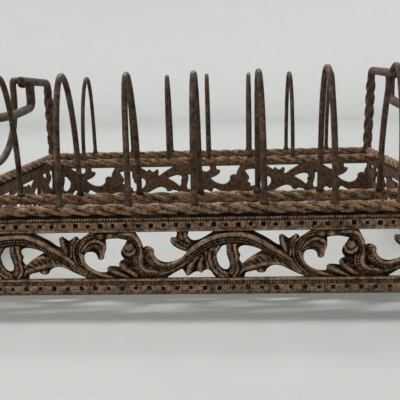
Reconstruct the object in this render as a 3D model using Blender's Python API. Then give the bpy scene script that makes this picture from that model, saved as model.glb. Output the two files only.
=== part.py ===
"""Wrought and cast iron toast rack: four openwork scroll bands under a frame of twisted bars.

Two rows of seven wire hoops stand on pairs of twisted bars. At each end the corner posts turn
inward as top bars, which carry a thick hand grip and, outboard of it, a hanging wire loop.
Units are metres, +Z is up, and the origin is on the table under the middle of the rack.
"""
from math import asin, cos, floor, pi, radians, sin, sqrt

import bmesh
import bpy
from mathutils import Matrix, Vector

MM = 0.001
GAP = 0.3 * MM                      # clearance between pieces that touch

# Hoop rows
PITCH = 34 * MM                     # distance from hoop to hoop along the rack
HOOPS_PER_ROW = 7
HOOP_DEPTH = 37 * MM                # between a hoop's two legs
HOOP_TOP = 111.8 * MM               # height of the wire's centreline at the crown
HOOP_SPRING = 46 * MM               # height at which the half ellipse springs
WIRE_RADIUS = 1.6 * MM
FOOT_RADIUS = 2.9 * MM              # a hoop's foot flares into its weld bead
FOOT_HEIGHT = 3 * MM
HOOP_STEPS = 16
# How each hoop was set by hand, left to right, in mm: its outer foot, inner foot and crown stand
# this far to the right of the even spacing, and its crown this much higher.
HOOP_SETTING = {
    "front": [(0.8, 0.8, 0.8, 0), (0, 1.2, 0.2, 0), (1.2, 1.1, 0, -0.2), (0.3, 1.5, 0.7, -0.4),
              (1.4, -0.1, -0.2, -0.4), (2.2, 0.5, 0.4, 0.9), (0.5, -0.7, 0.5, 0.9)],
    "rear": [(1.2, 0.1, 2, 0), (0.9, 0.9, 0.9, 0), (1.5, 2.4, 1.5, 0), (0.8, 1, 0.5, 0),
             (0.6, 1.1, 1, 0), (-0.1, 1.7, 0.5, 0), (0.6, 0.9, 0.8, 0)],
}

# Frame of twisted bars
DEPTH = 225 * MM                    # between the front and rear outer bars
END_BAR_SPAN = 278 * MM             # between the left and right end bars
BAR_SIDE = 4.8 * MM                 # square stock of the bars
BAR_RADIUS = BAR_SIDE / sqrt(2)     # reach of its corners
POST_SIDE = 6.1 * MM                # heavier stock of the posts
POST_RADIUS = POST_SIDE / sqrt(2)
POST_BASE_X = {"left": 139 * MM, "right": 137.8 * MM}
POST_TOP_X = 139.6 * MM             # the posts lean outward a little
QUARTER_TWIST = 11 * MM             # length over which the stock turns a quarter
STEPS_PER_QUARTER = 3
INNER_BAR_DROP = 1.3 * MM           # the inner bars sit a little lower than the outer ones

# Openwork bands
BAND_HEIGHT = 41 * MM
BAND_THICKNESS = 3.4 * MM
BAND_SETBACK = 1 * MM               # band plane outside the bar above it
BAND_MARGIN = 3.5 * MM              # solid metal kept at each end of a band
MOTIF = 112                         # length of one repeat of the scroll, in mm
FRONT_PHASE = -40.3                 # place in the repeat at each band's left end, in mm
REAR_PHASE = -42.7
LEFT_PHASE = -33
RIGHT_PHASE = 6
NARROWEST_OPENING = 4               # mm; a cut opening narrower than this is left solid
SAME_POINT = 0.1 * MM               # outline points closer than this count as one
STRAIGHT = 1e-9                     # m2; corners that turn through less area are left out

# End handles; each was bent by hand, so the two ends differ
CORNER_Z = {"left": 109.3 * MM, "right": 112.3 * MM}       # top bar above the corner post
FREE_END_Z = {"left": 111.2 * MM, "right": 109.4 * MM}     # and at its free end
TOP_BAR_RADIUS = 3.1 * MM
TOP_BAR_END = 46 * MM               # distance of its free end from the middle of the rack
TOP_BEND = 4.5 * MM
HANDLE_Y = {"left": 0, "right": -6 * MM}                   # middle of the grip and the loop
GRIP_LEG_RADIUS = 3.4 * MM
GRIP_RADIUS = 3.1 * MM
GRIP_X = {"left": 136.6 * MM, "right": 139.3 * MM}
GRIP_HALF = 58 * MM
GRIP_BEND = 6 * MM
GRIP_Z = 90.2 * MM
GRIP_SAG = 3.5 * MM
LOOP_RADIUS = 2.5 * MM
LOOP_HALF = 46 * MM
LOOP_TOP = 111.4 * MM
LOOP_BOTTOM = 54.2 * MM
LOOP_TAIL = 66 * MM                 # the loop's ends lie along the top bars as far as this
LOOP_BEND = 3 * MM
GRIP_STEPS = 6
LOOP_STEPS = 14
BEND_STEPS = 3                      # along the small bends of the top bars and loops
GRIP_BEND_STEPS = 4
ROD_SIDES = 8
WIRE_SIDES = 6
SMOOTH_ANGLE = 50                   # degrees; sharper edges of round pieces stay crisp

BAR_Z = BAND_HEIGHT + GAP + BAR_RADIUS
INNER_BAR_Z = BAR_Z - INNER_BAR_DROP
HALF_SPAN = END_BAR_SPAN / 2
HALF_DEPTH = DEPTH / 2
INNER_Y = HALF_DEPTH - HOOP_DEPTH
BAND_Y = HALF_DEPTH + BAND_SETBACK
BAND_X = HALF_SPAN + BAND_SETBACK
LOOP_X = POST_TOP_X + TOP_BAR_RADIUS + GAP + LOOP_RADIUS

# Openings of one repeat of the scroll, as outlines in mm: distance along the band, height.
DROP = [(5.5, 26), (5.5, 22), (6.5, 18), (7, 15.5), (6.5, 13.5), (5, 13), (3.5, 13.5), (2, 15),
        (0.8, 18), (0.5, 21), (2, 23.5), (3.5, 25.5)]
HEART = [(14, 25.5), (12, 24.5), (11.5, 23), (12.5, 20.5), (12, 18.5), (13.5, 16), (15.5, 17.8),
         (18.5, 20), (21, 21.5), (23.5, 23), (20.5, 24.3), (17.5, 25.2)]
LOW_ARCH = [(14.5, 8.8), (15, 11), (16.5, 11.6), (18.5, 12), (20.3, 12.5), (21, 11.6), (23, 11),
            (25, 11.5), (26, 13.2), (28, 14.6), (30.5, 15.1), (33.5, 14.5), (37, 12.8),
            (40.5, 11), (44.5, 9.2), (44.5, 8.8)]
LEAF_TIPS = [(19.5, 33.2), (48, 33.2), (44.5, 31), (42.5, 29.5), (41.5, 31), (40.5, 31.5),
             (38.5, 30), (37, 29), (35.5, 30), (33.5, 31.5), (32, 30.5), (32, 28.5),
             (32.5, 25.5), (30.5, 26.5), (27, 29), (23.5, 31)]
CURL = [(56, 29.5), (61.5, 30), (67, 29), (65.5, 26.5), (63.5, 23), (63.7, 21), (65, 19),
        (63, 18), (62, 16.5), (62.5, 15), (56.5, 15), (55.8, 14.2), (56, 13), (55.5, 12),
        (52.5, 12), (49.5, 13), (46.5, 15), (44.5, 18), (44.5, 21), (45.5, 22.5), (47.5, 23),
        (50, 22.5), (51, 21), (51.5, 19), (53, 18.5), (54.5, 19.5), (55, 22), (56, 24.5)]
CHALICE = [(71.5, 33.2), (92.5, 33.2), (92.5, 32), (92, 30.2), (89.5, 30.2), (89, 28.5),
           (90, 26.5), (92.5, 24.5), (95, 23.3), (97.5, 22.5), (95, 20), (92, 18.3),
           (88.5, 17.2), (85, 17.3), (82, 19), (80.5, 21.5), (80.5, 23.5), (79, 25.2),
           (76.5, 25.7), (75, 25), (74.5, 27.5), (73, 30.5)]
EYELET = [(98.5, 33.2), (98, 31), (99.5, 29.2), (101, 28.6), (103.5, 29), (107, 30.7), (111, 33.2)]
LOW_LEAVES = [(86.5, 8.8), (90, 11), (94.5, 13.5), (95.5, 12.5), (96.5, 10.5), (97.2, 9.6),
              (99, 10.5), (100.5, 11.5), (103, 12), (104.5, 11), (106, 12.5), (108, 13),
              (109.5, 12), (110.5, 10.3), (112, 8.8)]
OPENINGS = [DROP, HEART, LOW_ARCH, LEAF_TIPS, CURL, CHALICE, EYELET, LOW_LEAVES]


def clear_scene():
    for old in list(bpy.data.objects):
        bpy.data.objects.remove(old, do_unlink=True)


def make_material(name, colour, roughness, metallic):
    material = bpy.data.materials.new(name)
    material.use_nodes = True
    shader = material.node_tree.nodes["Principled BSDF"]
    shader.inputs["Base Color"].default_value = (*colour, 1)
    shader.inputs["Roughness"].default_value = roughness
    shader.inputs["Metallic"].default_value = metallic
    return material


def make_object(name, bm, material, matrix=Matrix.Identity(4), smooth=False):
    """Turns a bmesh into a named object with its faces pointing out."""
    bmesh.ops.recalc_face_normals(bm, faces=bm.faces)
    mesh = bpy.data.meshes.new(name)
    bm.to_mesh(mesh)
    bm.free()
    if smooth:
        mesh.shade_smooth()
        mesh.set_sharp_from_angle(angle=radians(SMOOTH_ANGLE))
    mesh.materials.append(material)
    piece = bpy.data.objects.new(name, mesh)
    piece.matrix_world = matrix
    bpy.context.scene.collection.objects.link(piece)
    return piece


def loft(bm, rings):
    """Closed solid through rings of points, all with the same number of points."""
    rows = [[bm.verts.new(p) for p in ring] for ring in rings]
    count = len(rows[0])
    for low, high in zip(rows, rows[1:]):
        for i in range(count):
            j = (i + 1) % count
            bm.faces.new((low[i], low[j], high[j], high[i]))
    bm.faces.new(list(reversed(rows[0])))
    bm.faces.new(rows[-1])


def square_section(side, angle):
    """Square stock with a point at the middle of each side, turned by an angle."""
    half = side / 2
    outline = [(half, 0), (half, half), (0, half), (-half, half),
               (-half, 0), (-half, -half), (0, -half), (half, -half)]
    return [(x * cos(angle) - y * sin(angle), x * sin(angle) + y * cos(angle)) for x, y in outline]


def round_section(radius, sides, start=pi / 2):
    turns = [start + 2 * pi * i / sides for i in range(sides)]
    return [(radius * cos(t), radius * sin(t)) for t in turns]


def place_section(section, centre, across, up):
    return [centre + across * x + up * y for x, y in section]


def sweep_rod(bm, points, radii, sides):
    """Round rod along points that lie nearly in one Y-Z plane, with a radius at each point."""
    across = Vector((1, 0, 0))
    rings = []
    for i, point in enumerate(points):
        before = points[max(i - 1, 0)]
        after = points[min(i + 1, len(points) - 1)]
        along = (after - before).normalized()
        section = round_section(radii[i], sides)
        rings.append(place_section(section, point, across, along.cross(across)))
    loft(bm, rings)


def arc(centre, radius, start, end, steps):
    """Points (y, z) on an arc, with its angles in degrees."""
    turns = [radians(start + (end - start) * i / steps) for i in range(steps + 1)]
    return [(centre[0] + radius * cos(t), centre[1] + radius * sin(t)) for t in turns]


def twisted_bar(name, length, matrix, material):
    """Twisted square bar along X, centred on the origin of its matrix."""
    steps = round(length / QUARTER_TWIST * STEPS_PER_QUARTER)
    corners = square_section(BAR_SIDE, 0)[1::2]
    bm = bmesh.new()
    rings = []
    for i in range(steps + 1):
        turn = pi / 2 * i / STEPS_PER_QUARTER
        x = length * (i / steps - 0.5)
        rings.append([Vector((x, y * cos(turn) - z * sin(turn), y * sin(turn) + z * cos(turn)))
                      for y, z in corners])
    loft(bm, rings)
    return make_object(name, bm, material, matrix)


def band_openings(length, phase):
    """The scroll's openings that fall within a band, cut off at its end margins."""
    low = phase + BAND_MARGIN / MM
    high = phase + (length - BAND_MARGIN) / MM
    for repeat in range(floor(low / MOTIF), floor(high / MOTIF) + 1):
        for outline in OPENINGS:
            points = [(min(max(u + repeat * MOTIF, low), high), z) for u, z in outline]
            width = max(u for u, z in points) - min(u for u, z in points)
            if width >= NARROWEST_OPENING:
                yield [((u - phase) * MM - length / 2, z * MM) for u, z in points]


def without_repeats(points):
    return [p for i, p in enumerate(points) if (Vector(p) - Vector(points[i - 1])).length > SAME_POINT]


def drop_straight_runs(points):
    """Leaves out a point that lies on the straight line between its neighbours."""
    kept = []
    for i, point in enumerate(points):
        before = Vector(points[i - 1])
        after = Vector(points[(i + 1) % len(points)])
        here = Vector(point)
        bend = (here - before).x * (after - here).y - (here - before).y * (after - here).x
        if abs(bend) > STRAIGHT:
            kept.append(point)
    return kept


def openwork_band(name, length, phase, matrix, material):
    """Flat band in the X-Z plane of its matrix, pierced by the scroll's openings."""
    half = length / 2
    outlines = [[(-half, 0), (half, 0), (half, BAND_HEIGHT), (-half, BAND_HEIGHT)]]
    for points in band_openings(length, phase):
        outlines.append(drop_straight_runs(without_repeats(points)))
    bm = bmesh.new()
    for outline in outlines:
        corners = [bm.verts.new((x, -BAND_THICKNESS / 2, z)) for x, z in outline]
        for i, corner in enumerate(corners):
            bm.edges.new((corner, corners[(i + 1) % len(corners)]))
    bmesh.ops.triangle_fill(bm, use_beauty=True, use_dissolve=False, edges=bm.edges)
    grown = bmesh.ops.extrude_face_region(bm, geom=bm.faces)
    moved = [item for item in grown["geom"] if isinstance(item, bmesh.types.BMVert)]
    bmesh.ops.translate(bm, verts=moved, vec=(0, BAND_THICKNESS, 0))
    return make_object(name, bm, material, matrix)


def in_plane(x, middle, path):
    """Points at one x from a path of (distance from the middle, height)."""
    return [Vector((x, middle + y, z)) for y, z in path]


def hoop(name, x, side, setting, material):
    """Half-ellipse hoop across one pair of bars; side is -1 at the front and 1 at the rear."""
    outer_shift, inner_shift, crown_shift, crown_rise = [value * MM for value in setting]
    rise = HOOP_TOP + crown_rise - HOOP_SPRING
    outer_foot = BAR_Z + BAR_RADIUS + GAP
    inner_foot = INNER_BAR_Z + BAR_RADIUS + GAP
    start = asin((outer_foot + FOOT_HEIGHT - HOOP_SPRING) / rise)
    stop = pi - asin((inner_foot + FOOT_HEIGHT - HOOP_SPRING) / rise)
    middle = (HALF_DEPTH + INNER_Y) / 2
    path = []
    for i in range(HOOP_STEPS + 1):
        turn = start + (stop - start) * i / HOOP_STEPS
        inward = (1 - cos(turn)) / 2
        foot_shift = outer_shift + (inner_shift - outer_shift) * inward
        shift = foot_shift + (crown_shift - (outer_shift + inner_shift) / 2) * sin(turn) ** 2
        y = side * (middle + HOOP_DEPTH / 2 * cos(turn))
        path.append(Vector((x + shift, y, HOOP_SPRING + rise * sin(turn))))
    path.insert(0, Vector((path[0].x, path[0].y, outer_foot)))
    path.append(Vector((path[-1].x, path[-1].y, inner_foot)))
    radii = [FOOT_RADIUS] + [WIRE_RADIUS] * (HOOP_STEPS + 1) + [FOOT_RADIUS]
    bm = bmesh.new()
    sweep_rod(bm, path, radii, WIRE_SIDES)
    return make_object(name, bm, material, smooth=True)


def corner_post(name, end, side_x, side_y, material):
    """Twisted post that bends into a smooth top bar towards the middle of the rack."""
    base = Vector((side_x * POST_BASE_X[end], side_y * HALF_DEPTH, BAND_HEIGHT + GAP))
    top = Vector((side_x * POST_TOP_X, side_y * HALF_DEPTH, CORNER_Z[end] - TOP_BEND))
    steps = round((top - base).length / QUARTER_TWIST * STEPS_PER_QUARTER)
    twist = pi / 2 / STEPS_PER_QUARTER
    across = Vector((1, 0, 0))
    rings = []
    for i in range(steps):
        section = square_section(POST_SIDE, twist * i)
        rings.append(place_section(section, base.lerp(top, i / steps), across, Vector((0, -side_y, 0))))
    smooth_bar = round_section(TOP_BAR_RADIUS, ROD_SIDES, twist * steps)
    bend_centre = top - Vector((0, side_y * TOP_BEND, 0))
    for i in range(BEND_STEPS + 1):
        turn = pi / 2 * i / BEND_STEPS
        out = Vector((0, side_y * cos(turn), sin(turn)))
        rings.append(place_section(smooth_bar, bend_centre + out * TOP_BEND, across, -out))
    free_end = Vector((top.x, side_y * TOP_BAR_END, FREE_END_Z[end]))
    rings.append(place_section(smooth_bar, free_end, across, Vector((0, 0, -1))))
    bm = bmesh.new()
    loft(bm, rings)
    return make_object(name, bm, material, smooth=True)


def under_top_bar(end, y):
    """Height just below the top bar at a place along it."""
    corner_y = HALF_DEPTH - TOP_BEND
    part = (abs(y) - TOP_BAR_END) / (corner_y - TOP_BAR_END)
    middle = FREE_END_Z[end] + (CORNER_Z[end] - FREE_END_Z[end]) * part
    return middle - TOP_BAR_RADIUS - 2 * GAP


def grip(name, end, side_x, material):
    """Hand grip: two short, thicker legs under the top bars and a slightly sagging bar."""
    middle = HANDLE_Y[end]
    bar_end = GRIP_HALF - GRIP_BEND
    path = [(GRIP_HALF, under_top_bar(end, middle + GRIP_HALF))]
    path += arc((bar_end, GRIP_Z + GRIP_BEND), GRIP_BEND, 0, -90, GRIP_BEND_STEPS)
    for i in range(1, GRIP_STEPS):
        y = bar_end * (1 - 2 * i / GRIP_STEPS)
        path.append((y, GRIP_Z - GRIP_SAG * (1 - (y / bar_end) ** 2)))
    path += arc((-bar_end, GRIP_Z + GRIP_BEND), GRIP_BEND, -90, -180, GRIP_BEND_STEPS)
    path.append((-GRIP_HALF, under_top_bar(end, middle - GRIP_HALF)))
    radii = [GRIP_LEG_RADIUS if abs(y) > bar_end else GRIP_RADIUS for y, z in path]
    bm = bmesh.new()
    sweep_rod(bm, in_plane(side_x * GRIP_X[end], middle, path), radii, ROD_SIDES)
    return make_object(name, bm, material, smooth=True)


def hanging_loop(name, end, side_x, material):
    """Wire loop beside the top bars: it turns down and hangs as a half circle."""
    spring = LOOP_BOTTOM + LOOP_HALF
    bend_y = LOOP_HALF + LOOP_BEND
    path = [(LOOP_TAIL, LOOP_TOP)]
    path += arc((bend_y, LOOP_TOP - LOOP_BEND), LOOP_BEND, 90, 180, BEND_STEPS)
    path += arc((0, spring), LOOP_HALF, 0, -180, LOOP_STEPS)
    path += arc((-bend_y, LOOP_TOP - LOOP_BEND), LOOP_BEND, 0, 90, BEND_STEPS)
    path.append((-LOOP_TAIL, LOOP_TOP))
    bm = bmesh.new()
    points = in_plane(side_x * LOOP_X, HANDLE_Y[end], path)
    sweep_rod(bm, points, [LOOP_RADIUS] * len(path), WIRE_SIDES)
    return make_object(name, bm, material, smooth=True)


def turned(x, y, z, degrees):
    return Matrix.Translation((x, y, z)) @ Matrix.Rotation(radians(degrees), 4, "Z")


def build_bands(iron):
    long_band = 2 * BAND_X + BAND_THICKNESS
    short_band = 2 * (BAND_Y - BAND_THICKNESS / 2 - GAP)
    openwork_band("band_front", long_band, FRONT_PHASE, turned(0, -BAND_Y, 0, 0), iron)
    openwork_band("band_rear", long_band, REAR_PHASE, turned(0, BAND_Y, 0, 180), iron)
    openwork_band("band_left", short_band, LEFT_PHASE, turned(-BAND_X, 0, 0, -90), iron)
    openwork_band("band_right", short_band, RIGHT_PHASE, turned(BAND_X, 0, 0, 90), iron)


def build_bars(iron):
    outer_bar = 2 * (min(POST_BASE_X.values()) - POST_RADIUS - GAP)
    inner_bar = END_BAR_SPAN - 2 * (BAR_RADIUS + GAP)
    end_bar = DEPTH - 2 * (POST_RADIUS + GAP)
    for row, side in (("front", -1), ("rear", 1)):
        outer = turned(0, side * HALF_DEPTH, BAR_Z, 0)
        inner = turned(0, side * INNER_Y, INNER_BAR_Z, 0)
        twisted_bar(f"bar_{row}_outer", outer_bar, outer, iron)
        twisted_bar(f"bar_{row}_inner", inner_bar, inner, iron)
    twisted_bar("bar_left", end_bar, turned(-HALF_SPAN, 0, BAR_Z, 90), iron)
    twisted_bar("bar_right", end_bar, turned(HALF_SPAN, 0, BAR_Z, 90), iron)


def build_hoops(wire):
    for row, side in (("front", -1), ("rear", 1)):
        for k, setting in enumerate(HOOP_SETTING[row]):
            x = (k - (HOOPS_PER_ROW - 1) / 2) * PITCH
            hoop(f"hoop_{row}_{k + 1}", x, side, setting, wire)


def build_handles(iron, wire):
    for end, side_x in (("left", -1), ("right", 1)):
        for row, side_y in (("front", -1), ("rear", 1)):
            corner_post(f"post_{row}_{end}", end, side_x, side_y, iron)
        grip(f"grip_{end}", end, side_x, wire)
        hanging_loop(f"loop_{end}", end, side_x, wire)


def main():
    clear_scene()
    cast = make_material("rusty_cast_iron", (0.13, 0.075, 0.045), 0.75, 0.3)
    bar = make_material("rusty_bar_iron", (0.15, 0.085, 0.055), 0.72, 0.3)
    wire = make_material("brown_wire_iron", (0.08, 0.05, 0.04), 0.6, 0.4)
    build_bands(cast)
    build_bars(bar)
    build_hoops(wire)
    build_handles(bar, wire)


main()
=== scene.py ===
"""Looks of the rusty iron toast rack: cast scroll bands, twisted bars, wire hoops and end handles.

Every piece replaces the CAD node of the same place. The scroll is drawn in millimetres: distance
along the band, then height above the table. Everything else is in metres.
"""
from math import cos, pi, radians, sin, sqrt

import bpy
import numpy as np
from mathutils import Matrix, Vector


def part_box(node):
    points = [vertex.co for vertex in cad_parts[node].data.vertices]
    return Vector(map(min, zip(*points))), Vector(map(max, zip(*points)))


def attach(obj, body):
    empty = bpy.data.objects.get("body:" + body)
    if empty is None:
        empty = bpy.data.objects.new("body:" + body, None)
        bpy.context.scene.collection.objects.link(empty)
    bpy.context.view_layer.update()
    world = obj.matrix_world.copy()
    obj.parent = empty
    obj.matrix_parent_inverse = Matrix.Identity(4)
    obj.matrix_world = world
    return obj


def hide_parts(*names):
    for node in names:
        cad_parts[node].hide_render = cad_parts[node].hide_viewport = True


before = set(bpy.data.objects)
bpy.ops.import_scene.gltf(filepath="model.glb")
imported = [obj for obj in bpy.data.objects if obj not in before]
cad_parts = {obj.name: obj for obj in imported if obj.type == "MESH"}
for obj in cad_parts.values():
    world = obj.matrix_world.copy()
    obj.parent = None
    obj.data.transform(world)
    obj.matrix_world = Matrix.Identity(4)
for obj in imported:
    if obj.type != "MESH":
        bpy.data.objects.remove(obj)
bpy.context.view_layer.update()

MM = 0.001
OBJECT_BODY = "root"

# Camera
CAMERA_PLACE = Vector((18.4, -396.3, 107.5)) * MM
CAMERA_YAW = 3.05                   # degrees, turned left of +Y
CAMERA_PITCH = 11.61                # degrees, looking down
CAMERA_ROLL = -1.54
CAMERA_LENS = 52.13                 # mm, on a 36 mm sensor

# One repeat of the scroll
MOTIF = 112
PHASES = {"front": -40.3, "rear": -42.7, "left": -33, "right": 6}
END_MARGIN = 3.5                    # mm of solid metal at each end of a band
GRID = 0.42                         # mm between the points of a band's surface
CURVE_STEPS = 5                     # straight runs between two drawn points
SHARP_CORNER = cos(radians(50))     # an outline that turns further keeps its corner
REACH = 3.0                         # mm round an opening within which distances are worked out
EDGE_ROUND = 0.9                    # mm, rounding of the relief at an opening's edge
BACK_ROUND = 0.5
GROUND = 0.1                        # mm, height of the lowest metal above the band's middle plane
RELIEF = 1.5                        # mm, height of the boldest stroke above the ground
OUTLINE = 0.5                       # mm, width of the groove cut round a stroke
GRIT = 0.34                         # mm, depth of the pits all over a band's outer face
BACK_DEPTH = 1.45                   # mm, the plain inner face behind the middle plane

DROP = [(5.5, 26), (5.5, 22), (6.5, 18), (7, 15.5), (6.5, 13.5), (5, 13), (3.5, 13.5), (2, 15),
        (0.8, 18), (0.5, 21), (2, 23.5), (3.5, 25.5)]
HEART = [(14, 25.5), (12, 24.5), (11.5, 23), (12.5, 20.5), (12, 18.5), (13.5, 16), (15.5, 17.8),
         (18.5, 20), (21, 21.5), (23.5, 23), (20.5, 24.3), (17.5, 25.2)]
LOW_ARCH = [(14.5, 8.8), (15, 11), (16.5, 11.6), (18.5, 12), (20.3, 12.5), (21, 11.6), (23, 11),
            (25, 11.5), (26, 13.2), (28, 14.6), (30.5, 15.1), (33.5, 14.5), (37, 12.8),
            (40.5, 11), (44.5, 9.2), (44.5, 8.8)]
LEAF_TIPS = [(19.5, 33.2), (48, 33.2), (44.5, 31), (42.5, 29.5), (41.5, 31), (40.5, 31.5),
             (38.5, 30), (37, 29), (35.5, 30), (33.5, 31.5), (32, 30.5), (32, 28.5),
             (32.5, 25.5), (30.5, 26.5), (27, 29), (23.5, 31)]
CURL = [(56, 29.5), (61.5, 30), (67, 29), (65.5, 26.5), (63.5, 23), (63.7, 21), (65, 19),
        (63, 18), (62, 16.5), (62.5, 15), (56.5, 15), (55.8, 14.2), (56, 13), (55.5, 12),
        (52.5, 12), (49.5, 13), (46.5, 15), (44.5, 18), (44.5, 21), (45.5, 22.5), (47.5, 23),
        (50, 22.5), (51, 21), (51.5, 19), (53, 18.5), (54.5, 19.5), (55, 22), (56, 24.5)]
CHALICE = [(71.5, 33.2), (92.5, 33.2), (92.5, 32), (92, 30.2), (89.5, 30.2), (89, 28.5),
           (90, 26.5), (92.5, 24.5), (95, 23.3), (97.5, 22.5), (95, 20), (92, 18.3),
           (88.5, 17.2), (85, 17.3), (82, 19), (80.5, 21.5), (80.5, 23.5), (79, 25.2),
           (76.5, 25.7), (75, 25), (74.5, 27.5), (73, 30.5)]
EYELET = [(98.5, 33.2), (98, 31), (99.5, 29.2), (101, 28.6), (103.5, 29), (107, 30.7), (111, 33.2)]
LOW_LEAVES = [(86.5, 8.8), (90, 11), (94.5, 13.5), (95.5, 12.5), (96.5, 10.5), (97.2, 9.6),
              (99, 10.5), (100.5, 11.5), (103, 12), (104.5, 11), (106, 12.5), (108, 13),
              (109.5, 12), (110.5, 10.3), (112, 8.8)]
OPENINGS = [DROP, HEART, LOW_ARCH, LEAF_TIPS, CURL, CHALICE, EYELET, LOW_LEAVES]

# Raised strokes of the scroll, each cut over the ones before it: kind, boldness, then (along,
# height, width) points
STROKES = [
    ("leaf", 0.8, [(36.5, 20, 3), (34.5, 25.5, 5), (33, 31.5, 1)]),
    ("leaf", 0.8, [(37.5, 20.5, 3), (39.5, 26.5, 5.8), (40.5, 31.5, 1)]),
    ("leaf", 0.6, [(16.5, 15.5, 3.4), (17.3, 13, 4.4), (17.6, 11.2, 1.5)]),
    ("leaf", 0.7, [(20, 17, 3), (22.5, 14, 5), (22.8, 10.8, 2)]),
    ("leaf", 0.75, [(107, 22, 4.6), (108, 17, 4.8), (108, 12.4, 2.6)]),
    ("leaf", 0.8, [(104, 21, 5), (104, 15, 5.6), (104.5, 10.6, 1)]),
    ("leaf", 0.85, [(103.5, 22.5, 4.6), (99.5, 16, 5.5), (97, 9.6, 1)]),
    ("ribbed", 0.95, [(95.5, 33.5, 5.1), (96, 29.5, 5.5), (98, 25.5, 5.5), (100.5, 23.5, 3.7)]),
    ("ribbed", 0.85, [(98, 24.5, 5.1), (93.5, 27, 4.6), (90.5, 28.8, 3.4), (89, 29.8, 1.2)]),
    ("gouge", 0.95, [(114.5, 28.5, 2.8), (111.5, 24.5, 4.6), (110, 20, 4.6), (111.5, 14.5, 4.6),
                     (114, 11.5, 4.4), (117.5, 9.8, 4.2), (121.5, 10.5, 4.4), (125, 14, 4.8),
                     (128, 15.5, 7), (133, 17.5, 8.8), (139, 18, 7), (144.5, 17, 4.9),
                     (149, 15, 4)]),
    ("ribbed", 0.85, [(8.5, 29, 5.8), (8.5, 24, 6), (9.5, 20, 5.2), (9.5, 17, 4.6),
                      (10, 13.5, 5.5), (8.5, 10, 4.6)]),
    ("stem", 1.0, [(66, 11, 3), (69.5, 12, 6), (76.5, 11.5, 6), (83.5, 13, 6), (90.5, 15.5, 5.8),
                   (96, 18.5, 5.8), (102, 23.5, 6), (109, 27.5, 6), (115.5, 29.5, 6),
                   (122.5, 30, 6.4), (127, 29.5, 6.4), (134, 26.5, 6.2), (140.5, 22.5, 5.7),
                   (145, 20, 4.8), (148.5, 17.5, 4.4), (153, 13.5, 3.9), (157.5, 10, 3.2),
                   (163, 8, 2)]),
    ("channel", 0.95, [(58, 9, 2), (51, 10.5, 3.9), (46.5, 13, 5), (43, 17, 5.6), (41.5, 21.5, 6.2),
                       (42.5, 26.5, 6), (46.5, 29.5, 5.4), (52, 31, 4.6), (57, 31.6, 3.6)]),
    ("ribbed", 0.85, [(44, 23.5, 2.8), (47.5, 26.5, 4.8), (51, 27.5, 6), (54, 26, 5.6),
                      (54, 23, 3.6), (53, 19.2, 1.2)]),
    ("strap", 0.6, [(52, 31.3, 3), (59, 31.5, 3.6), (67, 31.3, 3.6)]),
    ("leaf", 0.8, [(54.5, 15, 1.4), (60.5, 12, 5), (68, 9.3, 3.4)]),
    ("leaf", 0.85, [(61.8, 17.8, 1.4), (65.5, 13.8, 5.4), (71, 10.2, 4)]),
    ("stem", 0.95, [(64, 31.6, 3.2), (69.5, 30.5, 5.1), (72, 27.5, 5), (73, 23, 5),
                    (72.2, 19, 5.4), (72.5, 15, 5.6), (76, 11.8, 4.6), (81, 11.6, 3)]),
    ("stem", 0.95, [(77.3, 25.2, 5.4), (78, 21.5, 5.6), (80, 17.6, 5.4), (84, 14.6, 4.6),
                    (90, 15.6, 3.4), (96, 19.4, 2.6)]),
    ("round", 0.62, [(68, 25, 5.6), (68.2, 24.8, 5.6)]),
    ("rim", 1.0, [(64.6, 24.8, 0.9), (65.6, 22.4, 1.7), (68, 21.4, 1.9), (70.2, 22.6, 1.5),
                  (71, 24.4, 0.7)]),
]
BEAD_PITCH = 1.5                    # mm along a stem's beaded side

# Rails of a band, heights in mm
TOP_FILLET = (33.2, 34.7)
TOP_RIBBON = (34.7, 38.9)
TOP_BEADS = (38.9, 41)
LOW_TEETH = (0, 1.5)
LOW_RIBBON = (1.5, 5.3)
LOW_BEADS = (5.3, 7)
LOW_FILLET = (7, 8.8)
TOP_STAMPS = (36.7, 6.33, 5.8)      # height of the row, pitch, and place of its first stamp
LOW_STAMPS = (3.4, 7.2, 2.8)
STAMP = 1.15                        # mm, half the side of a stamped square
STAMP_SHIFT = 0.35                  # mm by which a stamp may stray from its place
RAIL_BEAD = 1.45                    # mm from bead to bead in a rail's bead row

# Frame, hoops and handles, in mm as the CAD has them
PITCH = 34
HOOPS_PER_ROW = 7
HOOP_DEPTH = 37
HOOP_TOP = 111.8
HOOP_SPRING = 46
WIRE_RADIUS = 1.6
# Each hoop as it was set: shift of its outer foot, inner foot and crown to the right, and the
# crown's rise
HOOP_SETTING = {
    "front": [(0.8, 0.8, 0.8, 0), (0, 1.2, 0.2, 0), (1.2, 1.1, 0, -0.2), (0.3, 1.5, 0.7, -0.4),
              (1.4, -0.1, -0.2, -0.4), (2.2, 0.5, 0.4, 0.9), (0.5, -0.7, 0.5, 0.9)],
    "rear": [(1.2, 0.1, 2, 0), (0.9, 0.9, 0.9, 0), (1.5, 2.4, 1.5, 0), (0.8, 1, 0.5, 0),
             (0.6, 1.1, 1, 0), (-0.1, 1.7, 0.5, 0), (0.6, 0.9, 0.8, 0)],
}
HALF_DEPTH = 112.5
BAND_TOP = 41
BAR_SIDE = 4.8
POST_SIDE = 6.1
POST_BASE_X = {"left": 139, "right": 137.8}
POST_TOP_X = 139.6
QUARTER_TWIST = 11
CORNER_Z = {"left": 109.3, "right": 112.3}
FREE_END_Z = {"left": 111.2, "right": 109.4}
TOP_BAR_RADIUS = 3.1
TOP_BAR_END = 46
TOP_BEND = 4.5
GRIP_LEG_RADIUS = 3.4
GRIP_RADIUS = 3.1
GRIP_X = {"left": 136.6, "right": 139.3}
GRIP_HALF = 58
HANDLE_Y = {"left": 0, "right": -6}
GRIP_BEND = 6
GRIP_Z = 90.2
GRIP_SAG = 3.5
LOOP_X = 145.5
LOOP_RADIUS = 2.5
LOOP_HALF = 46
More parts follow.
